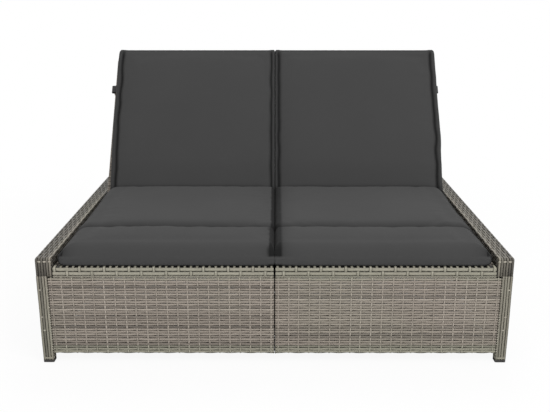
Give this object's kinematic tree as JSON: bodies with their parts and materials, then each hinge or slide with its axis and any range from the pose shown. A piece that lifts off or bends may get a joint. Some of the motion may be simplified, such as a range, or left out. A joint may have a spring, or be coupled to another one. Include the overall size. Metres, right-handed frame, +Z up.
{
  "type": "double chaise lounger",
  "caption": "Low woven double sun lounger with arm rails, two tilting backrests held by stays on toothed racks, and charcoal three-section cushions.",
  "frame": {"origin": "on the floor, at the middle of the lounger's footprint", "axes": "+Y from the foot end to the head end, +Z up, +X to the right as seen from the foot end"},
  "size_m": [1.4, 1.52, 0.8453],
  "materials": {
    "weave": "taupe-grey flat plastic strands, plain weave",
    "powder_coat": "matt dark grey powder coat",
    "zinc_steel": "zinc-plated steel",
    "black_nylon": "moulded black nylon",
    "cushion_fabric": "charcoal woven polyester",
    "strap_webbing": "charcoal elastic webbing"
  },
  "bodies": {
    "base": {"arm_weave_left": "weave", "arm_weave_right": "weave", "beam_bolts": "zinc_steel", "centre_beam": "powder_coat", "centre_bolts": "zinc_steel", "centre_feet": "black_nylon", "centre_legs": "powder_coat", "centre_nuts": "zinc_steel", "corner_bolts": "zinc_steel", "corner_feet": "black_nylon", "corner_nuts": "zinc_steel", "deck_screws": "zinc_steel", "foot_cushion_left": "cushion_fabric", "foot_cushion_right": "cushion_fabric", "front_frame_left": "powder_coat", "front_frame_right": "powder_coat", "front_weave_left": "weave", "front_weave_right": "weave", "hinge_bracket_left": "zinc_steel", "hinge_bracket_right": "zinc_steel", "hinge_pins": "zinc_steel", "hinge_screws": "zinc_steel", "ledger_bolts": "zinc_steel", "leg_weave_left": "weave", "leg_weave_right": "weave", "rack_bolts": "zinc_steel", "rack_carriers": "powder_coat", "rack_left": "zinc_steel", "rack_right": "zinc_steel", "rear_frame_left": "powder_coat", "rear_frame_right": "powder_coat", "rear_weave_left": "weave", "rear_weave_right": "weave", "seat_cushion_left": "cushion_fabric", "seat_cushion_right": "cushion_fabric", "seat_frame_left": "powder_coat", "seat_frame_right": "powder_coat", "seat_weave_left": "weave", "seat_weave_right": "weave", "side_frame_left": "powder_coat", "side_frame_right": "powder_coat", "side_ledger_left": "powder_coat", "side_ledger_right": "powder_coat", "side_weave_left": "weave", "side_weave_right": "weave"},
    "backrest_left": {"back_frame_left": "powder_coat", "back_weave_left": "weave", "hinge_bushes_left": "black_nylon", "stay_ears_left": "powder_coat", "back_cushion_left": "cushion_fabric", "cushion_strap_left": "strap_webbing"},
    "stay_left": {"stay_left": "zinc_steel"},
    "backrest_right": {"back_frame_right": "powder_coat", "back_weave_right": "weave", "hinge_bushes_right": "black_nylon", "stay_ears_right": "powder_coat", "back_cushion_right": "cushion_fabric", "cushion_strap_right": "strap_webbing"},
    "stay_right": {"stay_right": "zinc_steel"}
  },
  "joints": [
    {"name": "backrest_left_tilt", "type": "hinge", "parent": "base", "child": "backrest_left", "pos_m": [-0.32, 0.01, 0.291], "axis": [1, 0, 0], "range_deg": [-50.5, 0]},
    {"name": "stay_left_swing", "type": "hinge", "parent": "backrest_left", "child": "stay_left", "pos_m": [-0.32, 0.22397, 0.5034], "axis": [1, 0, 0], "range_deg": [0, 107.4]},
    {"name": "backrest_right_tilt", "type": "hinge", "parent": "base", "child": "backrest_right", "pos_m": [0.32, 0.01, 0.291], "axis": [1, 0, 0], "range_deg": [-50.5, 0]},
    {"name": "stay_right_swing", "type": "hinge", "parent": "backrest_right", "child": "stay_right", "pos_m": [0.32, 0.22397, 0.5034], "axis": [1, 0, 0], "range_deg": [0, 107.4]}
  ],
  "couplings": [
    {"joint": "stay_left_swing", "follows": "backrest_left_tilt", "ratio": -2.1258},
    {"joint": "stay_right_swing", "follows": "backrest_right_tilt", "ratio": -2.1258}
  ]
}
